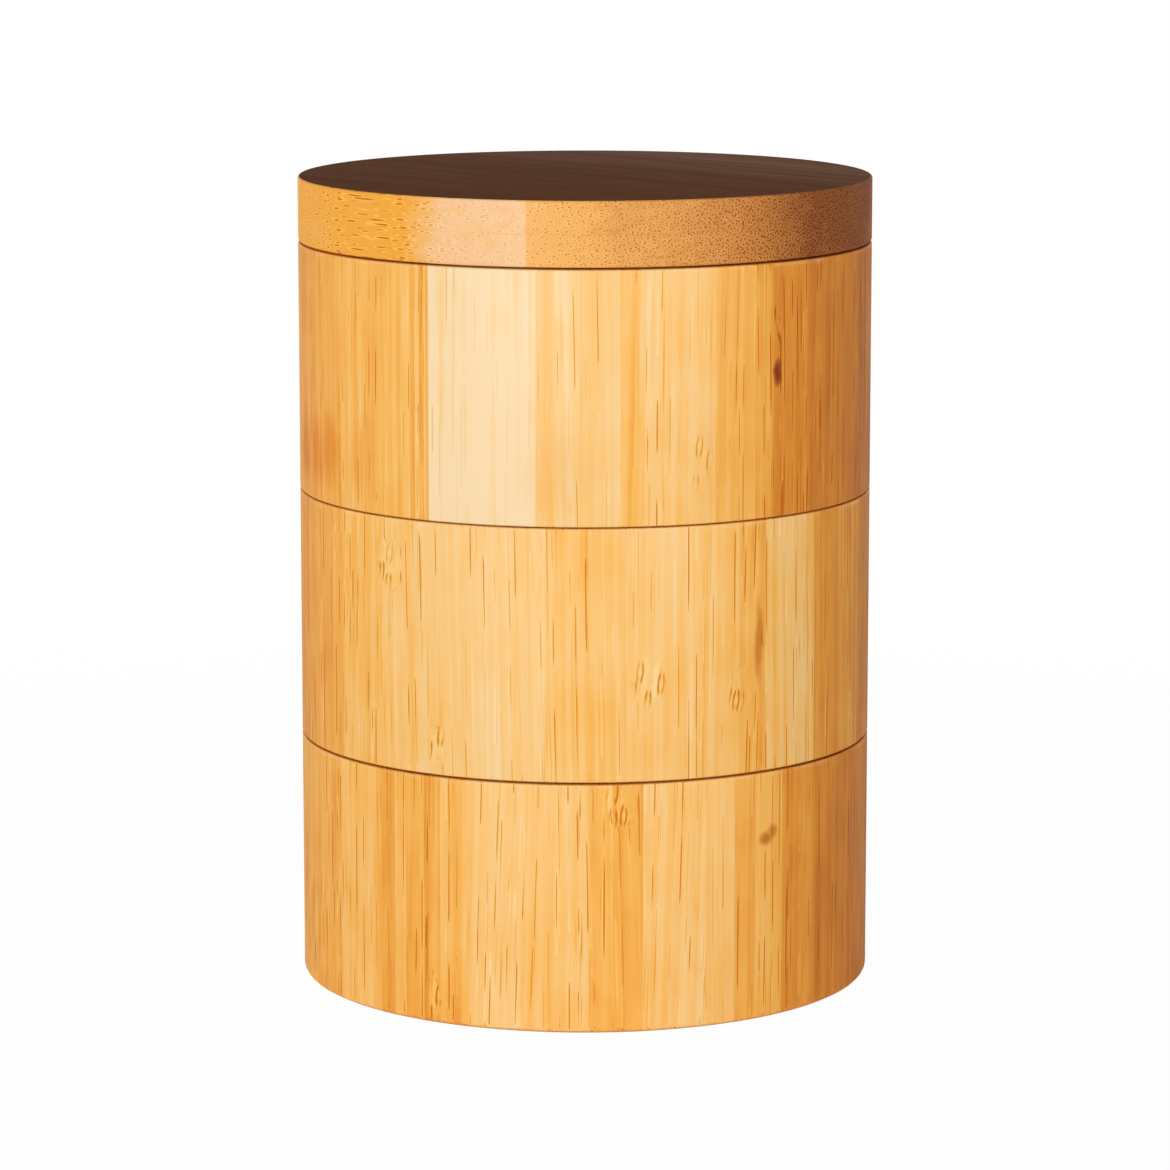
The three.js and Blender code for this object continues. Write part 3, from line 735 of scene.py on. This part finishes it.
def tierRing(tier):
    node = tier + "_wall"
    low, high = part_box(node)[0].z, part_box(node)[1].z
    high += ring["rise"][tier]  # rims nearly meet the next level
    ledge = low + ring["ledge"]
    lowest = tier == tierNames[0]
    piece = startCylinder(boxRadius, low, high, ring["sides"])
    bpy.ops.object.mode_set(mode="EDIT")
    pick("FACE", onRing([high], boxRadius))
    bpy.ops.mesh.inset(thickness=boxRadius - ring["cavityRadius"])
    bpy.ops.mesh.extrude_region_move(TRANSFORM_OT_translate={"value": (0, 0, ledge - high)})
    bpy.ops.mesh.delete(type="ONLY_FACE")
    pick("FACE", onRing([low], boxRadius))
    bpy.ops.mesh.inset(thickness=boxRadius - ring["seatRadius"])
    bpy.ops.mesh.extrude_region_move(TRANSFORM_OT_translate={"value": (0, 0, ledge - low)})
    bpy.ops.mesh.delete(type="ONLY_FACE")
    pick("EDGE", lambda co: abs(co.z - ledge) < closeBy)
    bpy.ops.mesh.bridge_edge_loops()
    segments = ring["roundingSegments"]
    roundRing(low, boxRadius, ring["footRounding"] if lowest else ring["rimRounding"], segments)
    roundRing(high, boxRadius, ring["rimRounding"], segments)
    roundRing(high, ring["cavityRadius"], ring["rimRounding"], segments)
    bpy.ops.object.mode_set(mode="OBJECT")
    back, front, past = pivot.xy, magnetSpot.xy, pocket["past"]
    pockets = [(pocket["bush"], low - past, high + past, back),
               (pocket["washer"], high - pocket["washerDepth"], high + past, back),
               (pocket["magnet"], high - pocket["magnetDepth"], high + past, front)]
    if lowest:
        pockets.append((pocket["nut"], low - past, low + pocket["nutDepth"], back))
    else:
        pockets.append((pocket["magnet"], low - past, low + pocket["magnetDepth"], front))
    bore(piece, pockets)
    return settle(piece, tier + "_turned_ring", node, tierBamboo[tier])


for tier in tierNames:
    tierRing(tier)
print("tier rings turned")

# Lid: a turned disc whose top face carries bamboo painted dark brown as shade
lid = startCylinder(boxRadius, lidLow, lidHigh, ring["sides"])
bpy.ops.object.mode_set(mode="EDIT")
roundRing(lidHigh, boxRadius, ring["rimRounding"], ring["roundingSegments"])
roundRing(lidLow, boxRadius, ring["rimRounding"], ring["roundingSegments"])
bpy.ops.object.mode_set(mode="OBJECT")
bore(lid, [(pocket["insert"], lidLow - pocket["past"], lidLow + pocket["insertDepth"], pivot.xy),
           (pocket["magnet"], lidLow - pocket["past"], lidLow + pocket["magnetDepth"], magnetSpot.xy)])
settle(lid, "lid_turned_disc", "lid_panel", lidBamboo)
# the top face gets the bamboo painted dark as shade, the rest the plain lid bamboo
lid.data.materials.append(lidShadedTop)
for face in lid.data.polygons:
    face.material_index = 1 if face.center.z > lidHigh - closeBy else 0
print("lid turned")

# Floors: sanded discs with broken edges
floorDisc = dict(rounding=0.3 * mm, sides=192)
floorNodes = [tier + "_floor" for tier in tierNames]
floorLow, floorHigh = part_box(floorNodes[0])
disc = startCylinder(floorHigh.x, floorLow.z, floorHigh.z, floorDisc["sides"])
bpy.ops.object.mode_set(mode="EDIT")
roundRing(floorLow.z, floorHigh.x, floorDisc["rounding"], edgeSegments)
roundRing(floorHigh.z, floorHigh.x, floorDisc["rounding"], edgeSegments)
bpy.ops.object.mode_set(mode="OBJECT")
settleAlike(disc, "_disc", floorNodes, floorBamboo)

# Magnets: sintered discs, tumbled round at the edges before plating
magnetDisc = dict(rounding=0.3 * mm, segments=4, sides=64)
tierMagnets = [node for node in frame["nodes"] if node.endswith(("rim_magnet", "base_magnet"))]
magnetLow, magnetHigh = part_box("lid_magnet")
magnetRadius = magnetHigh.x - magnetSpot.x
disc = startCylinder(magnetRadius, magnetLow.z, magnetHigh.z, magnetDisc["sides"], magnetSpot.xy)
bpy.ops.object.mode_set(mode="EDIT")
for height in (magnetLow.z, magnetHigh.z):
    roundRing(height, magnetRadius, magnetDisc["rounding"], magnetDisc["segments"], magnetSpot.xy)
bpy.ops.object.mode_set(mode="OBJECT")
settleAlike(disc, "_disc", ["lid_magnet"] + tierMagnets, nickel)

# Bushes and thrust washers round the rod; the lowest bush is shorter, above the nut
tube = dict(bore=2.1 * mm, bushRounding=0.15 * mm, washerRounding=0.12 * mm, sides=64)


def rodTube(node, rounding):
    low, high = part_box(node)
    return turnTube(high.x - pivot.x, tube["bore"], low.z, high.z, tube["sides"], pivot.xy, rounding)


for bushes in (["middle_tier_bush", "top_tier_bush"], ["bottom_tier_bush"]):
    settleAlike(rodTube(bushes[0], tube["bushRounding"]), "_tube", bushes, brass)
washers = [tier + "_thrust_washer" for tier in tierNames]
settleAlike(rodTube(washers[0], tube["washerRounding"]), "_ring", washers, nylon)

# Rod: drawn bar with chamfered ends and the lathe's centre marks
rod = dict(chamfer=0.4 * mm, centreRadius=0.6 * mm, centreTaper=0.4 * mm, centreDepth=0.5 * mm, sides=64)
rodLow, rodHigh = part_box("pivot_rod")
rodRadius = rodHigh.x - pivot.x
bar = startCylinder(rodRadius, rodLow.z, rodHigh.z, rod["sides"], pivot.xy)
bpy.ops.object.mode_set(mode="EDIT")
for height in (rodLow.z, rodHigh.z):
    pick("FACE", onRing([height], rodRadius, pivot.xy))
    bpy.ops.mesh.inset(thickness=rodRadius - rod["centreRadius"])
    bpy.ops.mesh.inset(thickness=rod["centreTaper"], depth=-rod["centreDepth"])
    roundRing(height, rodRadius, rod["chamfer"], 1, pivot.xy)
bpy.ops.object.mode_set(mode="OBJECT")
settle(bar, "pivot_rod_bar", "pivot_rod", steel)

# Nut: a round nut with a slot across its lower face for the driver
nut = dict(slotWidth=1.0 * mm, slotDepth=0.8 * mm, rounding=0.2 * mm,
           slotReach=3)  # radii, so that the slot runs out at both sides
nutLow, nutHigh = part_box("pivot_nut")
nutBody = rodTube("pivot_nut", nut["rounding"])
bpy.ops.object.select_all(action="DESELECT")
bpy.ops.mesh.primitive_cube_add(size=1, location=(pivot.x, pivot.y, nutLow.z), scale=(
    nut["slotReach"] * (nutHigh.x - pivot.x), nut["slotWidth"], 2 * nut["slotDepth"]))
bpy.ops.object.transform_apply()
cutAway(nutBody, bpy.context.object)
settle(nutBody, "pivot_nut_slotted", "pivot_nut", steel)

# The spring washer and the knurled insert stay as they are and get their finish
for node, finish in (("wave_washer", steel), ("lid_insert", brass)):
    frame["nodes"][node].data.materials.clear()
    frame["nodes"][node].data.materials.append(finish)
print("floors, magnets and rod fittings made")

# Studio: pale floor, white behind, low softboxes all round with the strongest at the front. Each softbox is
# (power in W, degrees to the right of the front, degrees up, metres away, width, height, shown in gloss)
studio = dict(
    softboxes=dict(
        key=(13.4, -25, 6, 1.3, 0.9, 0.8, True),
        fill=(9.6, 40, 6, 1.3, 0.9, 0.8, True),
        leftWash=(9.3, -105, 5, 1.2, 1.0, 0.8, False),
        rightWash=(2.1, 100, 5, 1.2, 1.0, 0.8, False),
        backWash=(6.0, 180, 5, 1.2, 1.0, 0.8, False),
        underWash=(1.0, 0, -90, 0.6, 0.06, 0.06, False)),
    worldLight=0.12,              # the room's light, where the camera sees it as 1
    glossShare=0.45,              # how bright the room is in reflections
    paper="#e2e2e2", paperRoughness=0.9,
    floorWhite=0.975,             # how much of the floor beside the box is plain white to the camera
    shadeReach=0.4,               # metres from the middle to where all of it is
    floorSize=9.0, floorGap=0.1 * mm,
)


def softbox(name, power, turn, rise, away, width, height, shown):
    aim = Vector((0, 0, cadHigh.z / 2))
    turn, rise = math.radians(turn), math.radians(rise)
    towards = Vector((math.sin(turn) * math.cos(rise), -math.cos(turn) * math.cos(rise), math.sin(rise)))
    facing = towards.to_track_quat("Z", "Y").to_euler()
    bpy.ops.object.light_add(type="AREA", location=aim + towards * away, rotation=facing)
    lamp = bpy.context.object
    lamp.name = name
    lamp.data.shape = "RECTANGLE"
    lamp.data.size, lamp.data.size_y = width, height
    lamp.data.energy = power
    lamp.visible_camera = False
    lamp.visible_glossy = shown


for name, settings in studio["softboxes"].items():
    softbox(name + "_softbox", *settings)

world = bpy.data.worlds.new("studio_room")
bpy.context.scene.world = world
world.use_nodes = True
sky = world.node_tree
ray = addNode(sky, "ShaderNodeLightPath")
gloss = addNode(sky, "ShaderNodeMath", {
    0: ray.outputs["Is Glossy Ray"], 1: studio["glossShare"]}, operation="MULTIPLY")
seen = addNode(sky, "ShaderNodeMath", {0: ray.outputs["Is Camera Ray"], 1: gloss.outputs[0]}, operation="ADD")
shown = addNode(sky, "ShaderNodeMath", {
    0: seen.outputs[0], 1: ray.outputs["Is Transmission Ray"]}, operation="MAXIMUM")
level = addNode(sky, "ShaderNodeMapRange", {
    "Value": shown.outputs[0], "To Min": studio["worldLight"], "To Max": 1.0})
background = sky.nodes["Background"]
background.inputs["Color"].default_value = (1, 1, 1, 1)
sky.links.new(level.outputs[0], background.inputs["Strength"])

# The floor is white to the camera, keeps the box's shadow close to it and is clear from below, so that the
# underside can be looked at; under the base it also lets the light from below through
bpy.ops.object.select_all(action="DESELECT")
bpy.ops.mesh.primitive_plane_add(size=studio["floorSize"], location=(0, 0, cadLow.z - studio["floorGap"]))
floor = bpy.context.object
floor.name = "studio_floor"
floorPaint, floorTree, floorShader = startMaterial("white_paper")
floorShader.inputs["Base Color"].default_value = linear(studio["paper"])
floorShader.inputs["Roughness"].default_value = studio["paperRoughness"]
floorRay = addNode(floorTree, "ShaderNodeLightPath")
floorPlace = addNode(floorTree, "ShaderNodeTexCoord")
floorAway = addNode(floorTree, "ShaderNodeVectorMath", {0: floorPlace.outputs["Object"]}, operation="LENGTH")
whiteness = addNode(floorTree, "ShaderNodeMapRange", {
    "Value": floorAway.outputs["Value"], "From Min": boxRadius, "From Max": studio["shadeReach"],
    "To Min": studio["floorWhite"], "To Max": 1.0}, interpolation_type="SMOOTHSTEP")
white = addNode(floorTree, "ShaderNodeEmission", {"Color": (1, 1, 1, 1), "Strength": 1.0})
whiteShare = addNode(floorTree, "ShaderNodeMath", {
    0: floorRay.outputs["Is Camera Ray"], 1: whiteness.outputs[0]}, operation="MULTIPLY")
mixed = addNode(floorTree, "ShaderNodeMixShader", {
    0: whiteShare.outputs[0], 1: floorShader.outputs[0], 2: white.outputs[0]})
floorSide = addNode(floorTree, "ShaderNodeNewGeometry")
underBase = addNode(floorTree, "ShaderNodeMath", {
    0: floorAway.outputs["Value"], 1: boxRadius}, operation="LESS_THAN")
litThrough = addNode(floorTree, "ShaderNodeMath", {
    0: underBase.outputs[0], 1: floorRay.outputs["Is Camera Ray"]}, operation="SUBTRACT")
clearShare = addNode(floorTree, "ShaderNodeMath", {
    0: floorSide.outputs["Backfacing"], 1: litThrough.outputs[0]}, operation="MAXIMUM")
clear = addNode(floorTree, "ShaderNodeBsdfTransparent")
oneSided = addNode(floorTree, "ShaderNodeMixShader", {
    0: clearShare.outputs[0], 1: mixed.outputs[0], 2: clear.outputs[0]})
floorTree.links.new(oneSided.outputs[0], floorTree.nodes["Material Output"].inputs["Surface"])
floor.data.materials.append(floorPaint)

# Camera at the photograph's angle
view = dict(away=787.7 * mm, height=196.4 * mm, pitch=0.1694, lens=154.73, sensor=36.0, clipStart=0.01)
bpy.ops.object.camera_add(location=(0, -view["away"], view["height"]),
                          rotation=(math.pi / 2 - view["pitch"], 0, 0))
camera = bpy.context.object
camera.data.lens = view["lens"]
camera.data.sensor_width = view["sensor"]
camera.data.clip_start = view["clipStart"]
bpy.context.scene.camera = camera
bpy.context.scene.view_settings.view_transform = "Standard"
print("studio set")
